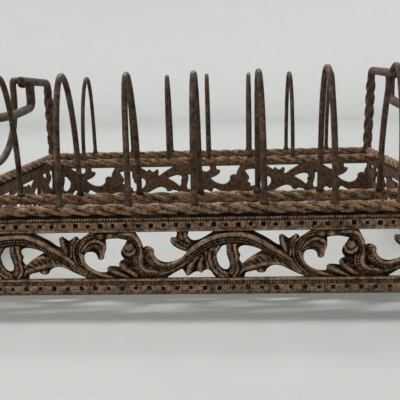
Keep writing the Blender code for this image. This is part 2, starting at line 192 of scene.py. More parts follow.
LOOP_TOP = 111.4
LOOP_BOTTOM = 54.2
LOOP_TAIL = 66
LOOP_BEND = 3

RING_STEP = 0.6                     # between rings of a swept piece
BAR_POINTS = 36                     # round a twisted bar
ROD_POINTS = 20
BAR_SQUARENESS = 12                 # power of the rounded square
EDGE_WEAR = 0.8                     # how much the corners of a bar are worn bright
CAST_NOISE = 0.16                   # roughness of cast and forged surfaces
WIRE_NOISE = 0.1
WELD_NOISE = 0.55
WELD_RADIUS = 2.4                   # of the bead at a hoop's foot
WELD_HEIGHT = 2.8
SEAM_RADIUS = 1.0                   # of the bead between a bar and the band under it
SEAM_RISE = 0.5                     # of its middle above the band
SEAM_OUT = 1.1                      # of its middle outward from the bar's middle
UNDERSIDE_SHADE = 0.4                # painted shade along the lowest part of a bar
WELD_SINK = 1.3                     # how far a welded end runs into the piece below it

# Wear, rust and painted shade (DARK is the painted shade of recesses), linear colours
DARK = (0.0075, 0.006, 0.0045, 1)
BROWN = (0.165, 0.084, 0.042, 1)
WORN = (0.42, 0.265, 0.16, 1)
ORANGE = (0.33, 0.135, 0.038, 1)
GREY = (0.15, 0.13, 0.105, 1)
BAR_BROWN = (0.31, 0.168, 0.082, 1)
BAR_WORN = (0.56, 0.38, 0.24, 1)
POST_BROWN = (0.08, 0.042, 0.023, 1)
POST_WORN = (0.17, 0.103, 0.06, 1)
UMBER = (0.078, 0.041, 0.023, 1)
PLUM = (0.25, 0.15, 0.09, 1)
OLIVE = (0.1, 0.075, 0.035, 1)
BLACK = (0.006, 0.005, 0.004, 1)
PAPER = (0.545, 0.545, 0.53, 1)
# Painted shade darkens the paper round and behind the rack; painted light makes it palest on the wall.
PAINTED_SHADE_PAPER = (0.415, 0.425, 0.412, 1)
PAINTED_LIGHT_PAPER = (0.77, 0.77, 0.755, 1)
PAPER_SHIFT = (0, 0.6, 0)           # its painted light and shade lie in rings round a place this far in front
SKY_STRENGTH = 0.19

random = np.random.default_rng(11)
LATTICE = random.uniform(-1, 1, (24, 24, 24))


def noise(points, size):
    """Smooth noise from -1 to 1 at each place, with lumps of the given size."""
    scaled = points / size
    low = np.floor(scaled).astype(int)
    part = scaled - low
    part = part * part * (3 - 2 * part)
    total = np.zeros(len(points))
    for corner in np.ndindex(2, 2, 2):
        weight = np.ones(len(points))
        for axis in range(3):
            weight = weight * (part[:, axis] if corner[axis] else 1 - part[:, axis])
        cell = (low + np.array(corner)) % len(LATTICE)
        total += weight * LATTICE[cell[:, 0], cell[:, 1], cell[:, 2]]
    return total


def rough(points):
    """Pitted, lumpy metal: two sizes of noise together."""
    return 0.6 * noise(points, 3.1) + 0.4 * noise(points, 1.1)


def make_piece(name, bodies, node, material):
    """Mesh object that stands for one CAD node, from bodies of (points in mm, faces, cavity).

    The cavity of a point sets how dark its colour is painted: 1 in a recess, as painted shade, and -1
    on a worn ridge.
    """
    points = np.concatenate([body[0] for body in bodies])
    cavity = np.concatenate([body[2] for body in bodies])
    faces = []
    offset = 0
    for body in bodies:
        faces += [[i + offset for i in face] for face in body[1]]
        offset += len(body[0])
    mesh = bpy.data.meshes.new(name)
    mesh.from_pydata((points * MM).tolist(), [], faces)
    mesh.update()
    mesh.shade_smooth()
    attribute = mesh.attributes.new("cavity", "FLOAT", "POINT")
    attribute.data.foreach_set("value", cavity.astype(np.float32))
    mesh.materials.append(material)
    piece = bpy.data.objects.new(name, mesh)
    bpy.context.scene.collection.objects.link(piece)
    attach(piece, OBJECT_BODY)
    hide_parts(node)
    return piece


# ---- Scroll bands ----

def unit(vector):
    return vector / max(np.hypot(*vector), 1e-9)


def tangent(before, after):
    """Direction of a smooth line between two runs, or the later run's own after a sharp corner."""
    a = unit(before)
    b = unit(after)
    return None if a @ b < SHARP_CORNER else unit(a + b)


def smooth_line(points, closed):
    """Points of a smooth curve through an outline or a stroke, with a stroke's width kept."""
    drawn = np.array(points, float)
    count = len(drawn)
    runs = [(drawn[(i + 1) % count] - drawn[i])[:2] for i in range(count)]
    last = count if closed else count - 1
    line = []
    for i in range(last):
        length = np.hypot(*runs[i])
        start = end = None
        if closed or i > 0:
            start = tangent(runs[i - 1], runs[i])
        if closed or i < last - 1:
            end = tangent(runs[i], runs[(i + 1) % count])
        start = unit(runs[i]) if start is None else start
        end = unit(runs[i]) if end is None else end
        a = drawn[i]
        b = drawn[(i + 1) % count]
        for k in range(CURVE_STEPS):
            t = k / CURVE_STEPS
            point = a + (b - a) * t
            blend = t * t * (3 - 2 * t)
            point[:2] = a[:2] + (b - a)[:2] * blend
            point[:2] += length * ((t ** 3 - 2 * t * t + t) * start + (t ** 3 - t * t) * end)
            line.append(point)
    if not closed:
        line.append(drawn[-1])
    return np.array(line)


def from_segment(u, z, a, b):
    """Distance to a straight run, the part of it reached, and the side on which a place lies."""
    run = (b - a)[:2]
    du = u - a[0]
    dz = z - a[1]
    part = np.clip((du * run[0] + dz * run[1]) / max(run @ run, 1e-9), 0, 1)
    distance = np.hypot(du - part * run[0], dz - part * run[1])
    return distance, part, np.sign(run[0] * dz - run[1] * du)


def opening_distance(u, z):
    """Millimetres to the nearest opening's edge, below zero inside the opening."""
    nearest = np.full(u.shape, REACH)
    for outline in OPENINGS:
        line = smooth_line(outline, True)
        for shift in (-MOTIF, 0, MOTIF):
            moved = line + (shift, 0)
            low = moved.min(axis=0) - REACH
            high = moved.max(axis=0) + REACH
            near = (u > low[0]) & (u < high[0]) & (z > low[1]) & (z < high[1])
            if not near.any():
                continue
            nu = u[near]
            nz = z[near]
            distance = np.full(nu.shape, REACH)
            inside = np.zeros(nu.shape, bool)
            for a, b in zip(moved, np.roll(moved, -1, axis=0)):
                distance = np.minimum(distance, from_segment(nu, nz, a, b)[0])
                crosses = (a[1] > nz) != (b[1] > nz)
                rise = b[1] - a[1] if b[1] != a[1] else 1e-9
                inside ^= crosses & (nu < a[0] + (nz - a[1]) * (b[0] - a[0]) / rise)
            nearest[near] = np.minimum(nearest[near], np.where(inside, -distance, distance))
    return nearest


def dome(q):
    return np.sqrt(np.clip(1 - q * q, 0, 1))


def hump(q, centre, width):
    return np.exp(-((q - centre) / width) ** 2)


def beads(q, along, centre, width):
    """Row of small punched beads along a stroke."""
    return np.abs(np.sin(pi * along / BEAD_PITCH)) * hump(q, centre, width)


def stem_profile(q, along):
    """Narrow smooth ridge along the left side of the stem and a low beaded band beside it."""
    ridge = dome((q - 0.52) / 0.46)
    band = 0.22 * dome(q) + 0.42 * beads(q, along, -0.2, 0.2) + 0.2 * hump(q, -0.72, 0.14)
    return np.where(q > 0.1, ridge, band)


def channel_profile(q, along):
    """Smooth rim along the right side, a sunk punched channel and a thin outer rim."""
    rim = dome((q + 0.52) / 0.46)
    sunk = 0.16 * dome(q) + 0.3 * beads(q, along, 0.2, 0.26) + 0.55 * hump(q, 0.8, 0.13)
    return np.where(q < -0.1, rim, sunk)


def leaf_profile(q, along):
    """Leaf with a swollen, ridged middle and thin low edges."""
    return dome(q) * (0.3 + 0.7 * hump(q, 0, 0.42) + 0.12 * np.cos(2.4 * pi * q))


def ribbed_profile(q, along):
    """Leaf with a raised rim on its left, a hollow beside it and fine punching on its right."""
    hollow = 0.32 + 0.75 * hump(q, 0.5, 0.24) + 0.35 * beads(q, along, -0.4, 0.22)
    return dome(q) * (hollow + 0.3 * hump(q, -0.85, 0.12))


def gouge_profile(q, along):
    """Curled ribbon: bold outer edge, hollow middle with slanting veins, lower inner edge."""
    veins = 0.1 * np.sin(2 * pi * (along / 2.8 + q))
    return dome(q) * (0.34 + 0.7 * hump(q, -0.62, 0.25) + 0.3 * hump(q, 0.62, 0.2) + veins)


def strap_profile(q, along):
    return dome(q) * (0.7 + 0.3 * np.sin(2 * pi * along / 5))


def round_profile(q, along):
    return dome(q)


PROFILES = {"stem": stem_profile, "channel": channel_profile,
            "leaf": leaf_profile, "ribbed": ribbed_profile, "gouge": gouge_profile,
            "strap": strap_profile, "round": round_profile, "rim": round_profile}


def stroke_height(u, z):
    """Relief of the scroll's strokes, from 0 on bare ground to 1 on the boldest ridge."""
    height = np.zeros(u.shape)
    for kind, boldness, points in STROKES:
        line = smooth_line(points, False)
        margin = line[:, 2].max() / 2 + OUTLINE
        lengths = np.hypot(*np.diff(line[:, :2], axis=0).T)
        starts = np.concatenate([[0], np.cumsum(lengths)])
        for shift in (-2 * MOTIF, -MOTIF, 0, MOTIF):
            moved = line + (shift, 0, 0)
            low = moved.min(axis=0) - margin
            high = moved.max(axis=0) + margin
            near = (u > low[0]) & (u < high[0]) & (z > low[1]) & (z < high[1])
            if not near.any():
                continue
            nu = u[near]
            nz = z[near]
            best = np.full(nu.shape, 9.0)
            beyond = np.full(nu.shape, 9.0)
            side = np.zeros(nu.shape)
            along = np.zeros(nu.shape)
            for i, (a, b) in enumerate(zip(moved, moved[1:])):
                distance, part, which = from_segment(nu, nz, a, b)
                half = (a[2] + (b[2] - a[2]) * part) / 2
                ratio = distance / half
                closer = ratio < best
                best = np.where(closer, ratio, best)
                beyond = np.minimum(beyond, distance - half)
                side = np.where(closer, which, side)
                along = np.where(closer, starts[i] + part * lengths[i], along)
            profile = PROFILES[kind](best * side, along) * boldness
            groove = np.minimum(height[near], 0.05 + 0.9 * np.clip(beyond / OUTLINE, 0, 1) ** 2)
            height[near] = np.where(best < 1, profile, np.where(beyond < OUTLINE, groove, height[near]))
    return height


def within(z, limits):
    return (z >= limits[0]) & (z <= limits[1])


def across(z, limits):
    """-1 at the lower limit and 1 at the upper one."""
    return (2 * z - limits[0] - limits[1]) / (limits[1] - limits[0])


def stamps(x, z, row):
    """Row of stamped squares, each a sunk frame round a small stud and none quite alike."""
    height, pitch, first = row
    number = np.floor((x - first) / pitch + 0.5)
    stray = np.sin(number * 12.9898 + height) * STAMP_SHIFT
    size = STAMP * (1 + 0.15 * np.sin(number * 78.233))
    du = x - first - number * pitch - stray
    dz = z - height - 0.6 * np.sin(number * 39.425) * STAMP_SHIFT
    slant = 0.3 * np.sin(number * 27.17)
    reach = np.maximum(np.abs(du + slant * dz), np.abs(dz - slant * du))
    return np.clip((size - reach) / 0.35, 0, 1) - 0.6 * np.clip((size * 0.4 - reach) / 0.3, 0, 1)


def rail_height(x, z):
    """Relief of the two rails, from 0 to 1, and 0 between them."""
    height = np.zeros(x.shape)
    beads = np.abs(np.sin(pi * x / RAIL_BEAD))
    for limits, level in ((TOP_FILLET, 0.8), (LOW_FILLET, 0.95)):
        fillet = level * dome(across(z, limits)) - 0.08 * beads
        height = np.where(within(z, limits), fillet, height)
    for limits, row in ((TOP_RIBBON, TOP_STAMPS), (LOW_RIBBON, LOW_STAMPS)):
        swell = 0.72 - 0.14 * across(z, limits) ** 2
        height = np.where(within(z, limits), swell - 0.66 * stamps(x, z, row), height)
    for limits in (TOP_BEADS, LOW_BEADS):
        row = 0.28 + 0.34 * beads * dome(across(z, limits))
        height = np.where(within(z, limits), row, height)
    teeth = 0.35 + 0.4 * beads
    return np.where(within(z, LOW_TEETH), teeth, height)


def blur(field, cells):
    """Average over a square, three times over, which is close to a soft round blur."""
    for _ in range(3):
        for axis in (0, 1):
            padded = np.concatenate([np.repeat(field.take([0], axis), cells + 1, axis), field,
                                     np.repeat(field.take([-1], axis), cells, axis)], axis)
            sums = np.cumsum(padded, axis)
            count = 2 * cells + 1
            upper = sums.take(range(count, count + field.shape[axis]), axis)
            field = (upper - sums.take(range(field.shape[axis]), axis)) / count
    return field


def cut_grid(inside_distance):
    """Faces of the metal on a grid, cut where the distance crosses zero.

    Returns the crossing points as (point, point, part) and the faces as lists of indices,
    where crossings are numbered after all the grid points.
    """
    rows, columns = inside_distance.shape
    metal = inside_distance > 0
    index = np.arange(rows * columns).reshape(rows, columns)
    corners = [index[:-1, :-1], index[1:, :-1], index[1:, 1:], index[:-1, 1:]]
    flat = inside_distance.ravel()
    is_metal = metal.ravel()
    counts = sum(is_metal[c].astype(int) for c in corners)
    full = np.stack([c[counts == 4] for c in corners], axis=1).tolist()
    crossings = []
    known = {}
    cut_faces = []
    mixed = np.stack([c[(counts > 0) & (counts < 4)] for c in corners], axis=1)
    for cell in mixed.tolist():
        face = []
        for i, here in enumerate(cell):
            following = cell[(i + 1) % 4]
            if is_metal[here]:
                face.append(here)
            if is_metal[here] != is_metal[following]:
                pair = (min(here, following), max(here, following))
                if pair not in known:
                    known[pair] = flat.size + len(crossings)
                    part = flat[pair[0]] / (flat[pair[0]] - flat[pair[1]])
                    crossings.append((pair[0], pair[1], part))
                face.append(known[pair])
        cut_faces.append(face)
    return crossings, full + cut_faces


def band_fields(length, height, phase):
    """Grid of places on a band, the distance to its edges and the height of its relief."""
    columns = round(length / GRID) + 1
    rows = round(height / GRID) + 1
    x, z = np.meshgrid(np.linspace(0, length, columns), np.linspace(0, height, rows), indexing="ij")
    u = (x + phase) % MOTIF
    end = np.minimum(x, length - x)
    edge = np.maximum(opening_distance(u, z), END_MARGIN - end)
    relief = np.where(within(z, (LOW_FILLET[1], TOP_FILLET[0])), stroke_height(u, z), rail_height(x, z))
    relief = np.where(end < END_MARGIN, np.maximum(relief, 0.45), relief)
    return x, z, edge, relief


def scroll_band(end_name, along, material):
    """Cast band with the scroll in relief on its outer face and a plain inner face."""
    node = f"band_{end_name}"
    low, high = [Vector(corner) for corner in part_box(node)]
    centre = (low + high) / 2
    size = high - low
    along = Vector(along)
    outward = along.cross(Vector((0, 0, 1)))
    length = abs(size.dot(along)) / MM
    height = size.z / MM
    x, z, edge, relief = band_fields(length, height, PHASES[end_name])

    rim = np.minimum(np.minimum(x, length - x), np.minimum(z, height - z))
    edge = np.minimum(edge, rim + 0.35)
    rounding = np.sqrt(1 - (1 - np.clip(edge / EDGE_ROUND, 0, 1)) ** 2)
    back_rounding = np.sqrt(1 - (1 - np.clip(edge / BACK_ROUND, 0, 1)) ** 2)
    spread = np.stack([x.ravel(), 0 * x.ravel(), z.ravel()], axis=1)
    pits = (0.6 * noise(spread, 1.0) + 0.4 * noise(spread, 2.3)).reshape(x.shape)
    front = (GROUND + RELIEF * relief - GRIT * np.abs(pits)) * rounding
    front = np.maximum(front, 0.02 * rounding)
    back = BACK_DEPTH * back_rounding
    # The cavity paints shade in recesses and on the low ground between strokes, leaves raised strokes
    # lighter, and grows darker towards the top of the band.
    hollow = (blur(front, 3) - front) / 0.32
    cavity = np.clip(hollow + 0.5 * (0.5 - relief) + 0.1 + 0.7 * (z / height - 0.5), -1, 1)

    crossings, faces = cut_grid(edge)
    flat_x = x.ravel()
    flat_z = z.ravel()
    grid_count = flat_x.size
    cross = np.array(crossings)
    a = cross[:, 0].astype(int)
    b = cross[:, 1].astype(int)
    part = cross[:, 2]
    all_x = np.concatenate([flat_x, flat_x[a] + (flat_x[b] - flat_x[a]) * part])
    all_z = np.concatenate([flat_z, flat_z[a] + (flat_z[b] - flat_z[a]) * part])
    nothing = np.zeros(len(cross))
    front = np.concatenate([front.ravel(), nothing])
    back = np.concatenate([back.ravel(), nothing])
    # Points on the openings' cut edges get a darker cavity: painted shade on the casting's edges.
    cavity = np.concatenate([cavity.ravel(), nothing + 0.5])

    # The outer border closes on the rim, where front and back share their points.
    on_rim = (all_x < GRID / 4) | (all_x > length - GRID / 4) | (all_z < GRID / 4)
    on_rim |= all_z > height - GRID / 4
    shared = on_rim | (np.arange(len(all_x)) >= grid_count)
    used = np.zeros(len(all_x), bool)
    for face in faces:
        used[face] = True
    front_number = np.cumsum(used) - 1
    front_total = int(used.sum())
    own_back = used & ~shared
    back_number = np.where(shared, front_number, front_total + np.cumsum(own_back) - 1)

    def place(depth, chosen):
        depth = np.where(on_rim[chosen], 0, depth[chosen])
        across_band = np.array(along)[None, :] * (all_x[chosen] - length / 2)[:, None]
        up = np.array((0, 0, 1))[None, :] * all_z[chosen][:, None]
        out = np.array(outward)[None, :] * depth[:, None]
        foot = np.array((centre.x, centre.y, low.z)) / MM
        return across_band + up + out + foot

    points = np.concatenate([place(front, used), place(-back, own_back)])
    wobble = rough(points) * CAST_NOISE
    wobble[:front_total][shared[used]] = 0
    wobble[:front_total] -= np.abs(wobble[:front_total])
    wobble[front_total:] = np.abs(wobble[front_total:])
    points += np.array(outward)[None, :] * wobble[:, None] * 0.7
    cavities = np.concatenate([cavity[used], np.full(int(own_back.sum()), 0.12)])
    outer = [[int(front_number[i]) for i in face] for face in faces]
    inner = [[int(back_number[i]) for i in reversed(face)] for face in faces]
    make_piece(f"scroll_{end_name}", [(points, outer + inner, cavities)], node, material)


# ---- Rods and bars ----

def sweep(path, side, section, wobble, edge_wear=0):
    """Closed tube along a path: side is square to the path, or nearly so, everywhere.

    section(i) gives ring i's outline as an array of (across, up) and wobble(i) its lumpiness.
    """
    path = np.array([tuple(p) for p in path])
    along = np.gradient(path, axis=0)
    along /= np.linalg.norm(along, axis=1)[:, None]
    side = np.array(side, float)
    up = np.cross(along, side)
    outlines = [section(i) for i in range(len(path))]
    count, width = len(path), len(outlines[0])
    points = np.concatenate([path[i] + outline[:, :1] * side + outline[:, 1:] * up[i]
                             for i, outline in enumerate(outlines)])
    out = points - np.repeat(path, width, axis=0)
    reach = np.linalg.norm(out, axis=1)
    out = out / np.maximum(reach, 1e-9)[:, None]
    lumps = rough(points)
    points = points + out * (lumps * np.repeat([wobble(i) for i in range(count)], width))[:, None]
    mean = np.repeat(reach.reshape(count, width).mean(axis=1), width)
    # Painted shade in the dents between lumps; corners lighter where worn.
    cavity = -0.5 * lumps - edge_wear * (reach / mean - 1)
    faces = []
    for i in range(count - 1):
        for j in range(width):
            k = (j + 1) % width
            faces.append((i * width + j, i * width + k, (i + 1) * width + k, (i + 1) * width + j))
    faces.append(tuple(range(width))[::-1])
    faces.append(tuple(range((count - 1) * width, count * width)))
    return points, faces, np.clip(cavity, -1, 1)


def turns(count):
    return np.arange(count) * 2 * pi / count


def rounded_square(side, twist, count):
    """Square stock with worn corners, turned by an angle."""
    angle = turns(count)
    power = BAR_SQUARENESS
    reach = (np.abs(np.cos(angle)) ** power + np.abs(np.sin(angle)) ** power) ** (-1 / power)
    reach = reach * side / 2
    return np.stack([reach * np.cos(angle + twist), reach * np.sin(angle + twist)], axis=1)


def circle(radius, count):
    angle = turns(count)
    return np.stack([radius * np.cos(angle), radius * np.sin(angle)], axis=1)


def straight(start, end):
    steps = max(2, round((end - start).length / RING_STEP))
    return [start.lerp(end, i / steps) for i in range(steps + 1)]


def arc(centre, a, b, start, end, radius):
    """Points round a centre from one angle to another, in the plane of directions a and b."""
    steps = max(2, round(abs(end - start) * radius / RING_STEP))
    angles = [start + (end - start) * i / steps for i in range(steps + 1)]
    return [centre + (a * cos(t) + b * sin(t)) * radius for t in angles]


def join_paths(*parts):
    path = list(parts[0])
    for part in parts[1:]:
        path += [p for p in part if (p - path[-1]).length > RING_STEP / 3]
    return path


def end_rounding(i, count, radius):
    """Share of the full width near a rod's ends, so that they close as worn, rounded faces."""
    from_end = min(i, count - 1 - i) * RING_STEP
    bevel = 0.35 * radius
    if from_end >= bevel:
        return 1
    return 0.72 + 0.28 * sqrt(1 - (1 - from_end / bevel) ** 2)


def weld_share(distance):
    """1 at a welded end, fading to 0 away from it."""
    return max(0, 1 - distance / WELD_HEIGHT) ** 1.6


def weld_lump(centre, size):
    """Lumpy drop of weld metal, with its half sizes along X, Y and Z."""
    path = straight(centre - Vector((0, size[1], 0)), centre + Vector((0, size[1], 0)))

    def section(i):
        part = 2 * i / (len(path) - 1) - 1
        return circle(1, ROD_POINTS) * (size[0], size[2]) * sqrt(max(1 - part * part, 0.03))

    points, faces, cavity = sweep(path, (1, 0, 0), section, lambda i: WELD_NOISE)
    return points, faces, cavity + 0.35


def weld_seam(start, end, radius):
    """Irregular dark bead that fills the joint between a band and the bar on it."""
    path = straight(start, end)
    side = Vector((0, 0, 1)).cross((end - start).normalized())
    points, faces, _ = sweep(path, side, lambda i: circle(radius, 10), lambda i: WELD_NOISE)
    return points, faces, np.full(len(points), 1.0)


def node_box(node):
    """Lower corner, upper corner and centre of a CAD node, in mm."""
    low, high = [Vector(corner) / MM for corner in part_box(node)]
    return low, high, (low + high) / 2


def groove_shade(points):
    """Painted shade: darkness of the thin broken line that winds along a bar's flats, one value per
    point.
    """
    flat = np.clip(np.cos(4 * turns(BAR_POINTS)), 0, 1) ** 6
    broken = np.clip(0.6 + noise(points, 3.0), 0, 1)
    return 0.9 * np.tile(flat, len(points) // BAR_POINTS) * broken


def twisted_bar(node, name, seam_side, material):
    """Square bar twisted along its length, lying along X or Y; its seam side faces outward."""
    low, high, centre = node_box(node)
    size = high - low
    axis = Vector((1, 0, 0)) if size.x > size.y else Vector((0, 1, 0))
    half = abs(size.dot(axis)) / 2
    path = straight(centre - axis * half, centre + axis * half)
    side = Vector((0, 0, 1)).cross(axis)
    step = 2 * half / (len(path) - 1)

    def section(i):
        shrink = end_rounding(i, len(path), BAR_SIDE / 2)
        return rounded_square(BAR_SIDE * shrink, pi / 2 * i * step / QUARTER_TWIST, BAR_POINTS)

    points, faces, cavity = sweep(path, side, section, lambda i: CAST_NOISE, EDGE_WEAR)
    # Painted shade darkens the lowest part of the bar.
    cavity = cavity + UNDERSIDE_SHADE * np.clip((low.z + 1.6 - points[:, 2]) / 1.5, 0, 1)
    # Painted shade along the twist's winding line.
    cavity = cavity + groove_shade(points)
    bodies = [(points, faces, cavity)]
    if seam_side:
        outward = Vector(seam_side)
        joint = Vector((centre.x, centre.y, BAND_TOP + SEAM_RISE)) + outward * SEAM_OUT
        bodies.append(weld_seam(joint - axis * half, joint + axis * half, SEAM_RADIUS))
        for end in (-1, 1):
            bodies.append(weld_lump(centre + axis * end * half, (2.7, 2.7, 2.9)))
    make_piece(name, bodies, node, material)


def hoop(row, number, material):
    """Half-ellipse wire hoop whose feet spread into lumpy weld beads."""
    side = -1 if row == "front" else 1
    outer_shift, inner_shift, crown_shift, crown_rise = HOOP_SETTING[row][number - 1]
    x = (number - 1 - (HOOPS_PER_ROW - 1) / 2) * PITCH
    outer_foot = node_box(f"bar_{row}_outer")[1].z - WELD_SINK
    inner_foot = node_box(f"bar_{row}_inner")[1].z - WELD_SINK
    path = []
    steps = 260
    for i in range(steps + 1):
        t = pi * i / steps
        foot_shift = outer_shift + (inner_shift - outer_shift) * (1 - cos(t)) / 2
        shift = foot_shift + (crown_shift - (outer_shift + inner_shift) / 2) * sin(t) ** 2
        y = side * (HALF_DEPTH - HOOP_DEPTH / 2 + HOOP_DEPTH / 2 * cos(t))
        point = Vector((x + shift, y, HOOP_SPRING + (HOOP_TOP + crown_rise - HOOP_SPRING) * sin(t)))
        if point.z > (outer_foot if i < steps / 2 else inner_foot):
            path.append(point)
    middle = len(path) / 2

    def weld(i):
        return weld_share(path[i].z - path[0 if i < middle else -1].z - WELD_SINK / 2)

    def section(i):
        return circle(WIRE_RADIUS + (WELD_RADIUS - WIRE_RADIUS) * min(weld(i), 1), ROD_POINTS)

    def lumps(i):
        return WIRE_NOISE + WELD_NOISE * min(weld(i), 1)

    points, faces, cavity = sweep(path, (1, 0, 0), section, lumps)
    cavity = cavity + 0.15 * np.repeat([min(weld(i), 1) for i in range(len(path))], ROD_POINTS)
    make_piece(f"wire_hoop_{row}_{number}", [(points, faces, cavity)], f"hoop_{row}_{number}",
               material)


def corner_post(row, end, material):
    """Leaning twisted post that bends over into a plain round top bar."""
    side_x = -1 if end == "left" else 1
    side_y = -1 if row == "front" else 1
    up = Vector((0, 0, 1))
    out = Vector((0, side_y, 0))
    base = Vector((side_x * POST_BASE_X[end], side_y * HALF_DEPTH, BAND_TOP - 0.1))
    top = Vector((side_x * POST_TOP_X, side_y * HALF_DEPTH, CORNER_Z[end] - TOP_BEND))
    bend_centre = top - out * TOP_BEND
    shaft = straight(base, top)
    path = join_paths(shaft, arc(bend_centre, out, up, 0, pi / 2, TOP_BEND),
                      straight(bend_centre + up * TOP_BEND,
                               Vector((top.x, side_y * TOP_BAR_END, FREE_END_Z[end]))))
    twisted = len(shaft)
    fade = 12

    def section(i):
        twist = pi / 2 * min(i, twisted) * RING_STEP / QUARTER_TWIST
        blend = min(max((i - twisted + fade) / fade, 0), 1)
        shrink = end_rounding(i, len(path), TOP_BAR_RADIUS)
        turned = turns(BAR_POINTS) + twist
        plain = np.stack([np.cos(turned), np.sin(turned)], axis=1) * TOP_BAR_RADIUS
        return (rounded_square(POST_SIDE, twist, BAR_POINTS) * (1 - blend) + plain * blend) * shrink

    body = sweep(path, (1, 0, 0), section, lambda i: CAST_NOISE, EDGE_WEAR)
    foot = weld_lump(base + Vector((0, 0, 2.2)), (3.9, 3.9, 2.3))
    make_piece(f"twisted_post_{row}_{end}", [body, foot], f"post_{row}_{end}", material)


def grip(end, material):
    """Hand grip with two short, thicker legs welded under the top bars, and a slight sag."""
    x = GRIP_X[end] * (-1 if end == "left" else 1)
    middle = HANDLE_Y[end]
    bar_end = GRIP_HALF - GRIP_BEND
    up = Vector((0, 0, 1))
    out = Vector((0, 1, 0))
    leg_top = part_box(f"grip_{end}")[1][2] / MM + WELD_SINK
    centres = [Vector((x, middle + side * bar_end, GRIP_Z + GRIP_BEND)) for side in (1, -1)]
    steps = round(2 * bar_end / RING_STEP)
    sag = []
    for i in range(1, steps):
        y = bar_end * (1 - 2 * i / steps)
        sag.append(Vector((x, middle + y, GRIP_Z - GRIP_SAG * (1 - (y / bar_end) ** 2))))
    path = join_paths(straight(Vector((x, middle + GRIP_HALF, leg_top)), centres[0] + out * GRIP_BEND),
                      arc(centres[0], out, up, 0, -pi / 2, GRIP_BEND), sag,
                      arc(centres[1], out, up, -pi / 2, -pi, GRIP_BEND),
                      straight(centres[1] - out * GRIP_BEND, Vector((x, middle - GRIP_HALF, leg_top))))

    def section(i):
        leg = min(max((abs(path[i].y - middle) - bar_end) / GRIP_BEND, 0), 1)
        radius = GRIP_RADIUS + (GRIP_LEG_RADIUS - GRIP_RADIUS) * leg
        return circle(radius + 0.7 * weld_share(leg_top - path[i].z), 28)

    def lumps(i):
        return 1.6 * WIRE_NOISE + WELD_NOISE * weld_share(leg_top - path[i].z)

    body = sweep(path, (1, 0, 0), section, lumps)
    make_piece(f"hand_grip_{end}", [body], f"grip_{end}", material)


def hanging_loop(end, material):
    """Rod loop: its ends are welded beside the top bars, and it hangs as a half circle."""
    side_x = -1 if end == "left" else 1
    x = LOOP_X * side_x
    middle = HANDLE_Y[end]
    up = Vector((0, 0, 1))
    out = Vector((0, 1, 0))
    bend_y = LOOP_HALF + LOOP_BEND
    centres = [Vector((x, middle + side * bend_y, LOOP_TOP - LOOP_BEND)) for side in (1, -1)]
    hang = Vector((x, middle, LOOP_BOTTOM + LOOP_HALF))
    path = join_paths(
        straight(Vector((x, middle + LOOP_TAIL, LOOP_TOP)), centres[0] + up * LOOP_BEND),
        arc(centres[0], out, up, pi / 2, pi, LOOP_BEND),
        straight(centres[0] - out * LOOP_BEND, hang + out * LOOP_HALF),
        arc(hang, out, up, 0, -pi, LOOP_HALF),
        straight(hang - out * LOOP_HALF, centres[1] + out * LOOP_BEND),
        arc(centres[1], out, up, 0, pi / 2, LOOP_BEND),
        straight(centres[1] + up * LOOP_BEND, Vector((x, middle - LOOP_TAIL, LOOP_TOP))))

    def section(i):
        return circle(LOOP_RADIUS * end_rounding(i, len(path), LOOP_RADIUS), ROD_POINTS)

    body = sweep(path, (1, 0, 0), section, lambda i: WIRE_NOISE)
    low, high = node_box(f"loop_{end}")[:2]
    body[0][:, 0] = np.clip(body[0][:, 0], low.x, high.x)
    welds = [weld_lump(Vector((x - side_x * 3.6, middle + side * 57, LOOP_TOP - 2.2)), (3.2, 7.5, 3.6))
             for side in (1, -1)]
    make_piece(f"wire_loop_{end}", [body] + welds, f"loop_{end}", material)


# ---- Materials ----

def add_node(tree, kind, inputs=(), **settings):
    node = tree.nodes.new(kind)
    for key, value in settings.items():
        setattr(node, key, value)
    for key, value in dict(inputs).items():
        if isinstance(value, bpy.types.NodeSocket):
            tree.links.new(value, node.inputs[key])
        else:
            node.inputs[key].default_value = value
    return node


def noise_node(tree, place, size, detail):
    """Noise texture whose lumps are about the given size in metres."""
    texture = add_node(tree, "ShaderNodeTexNoise", {"Vector": place, "Scale": 1 / size,
                                                    "Detail": detail, "Roughness": 0.6})
    return texture.outputs["Fac"]


def ramp(tree, factor, stops):
    """Colour ramp from a list of (position, colour)."""
    node = add_node(tree, "ShaderNodeValToRGB", {"Fac": factor})
    elements = node.color_ramp.elements
    while len(elements) < len(stops):
        elements.new(0.5)
    for element, (position, colour) in zip(elements, stops):
        element.position = position
        element.color = colour
    return node.outputs["Color"]


def mix(tree, factor, a, b, blend="MIX"):
    node = add_node(tree, "ShaderNodeMix", data_type="RGBA", blend_type=blend)
    for socket, value in zip((node.inputs["Factor"], node.inputs[6], node.inputs[7]), (factor, a, b)):
        if isinstance(value, bpy.types.NodeSocket):
            tree.links.new(value, socket)
        else:
            socket.default_value = value
    return node.outputs[2]


def maths(tree, operation, a, b, clamp=False):
    return add_node(tree, "ShaderNodeMath", {0: a, 1: b}, operation=operation,
                    use_clamp=clamp).outputs[0]


def spots(tree, factor, low, high):
    """0 below the low value of a noise and 1 above the high one."""
    node = add_node(tree, "ShaderNodeMapRange", {"Value": factor, "From Min": low, "From Max": high})
    return node.outputs["Result"]


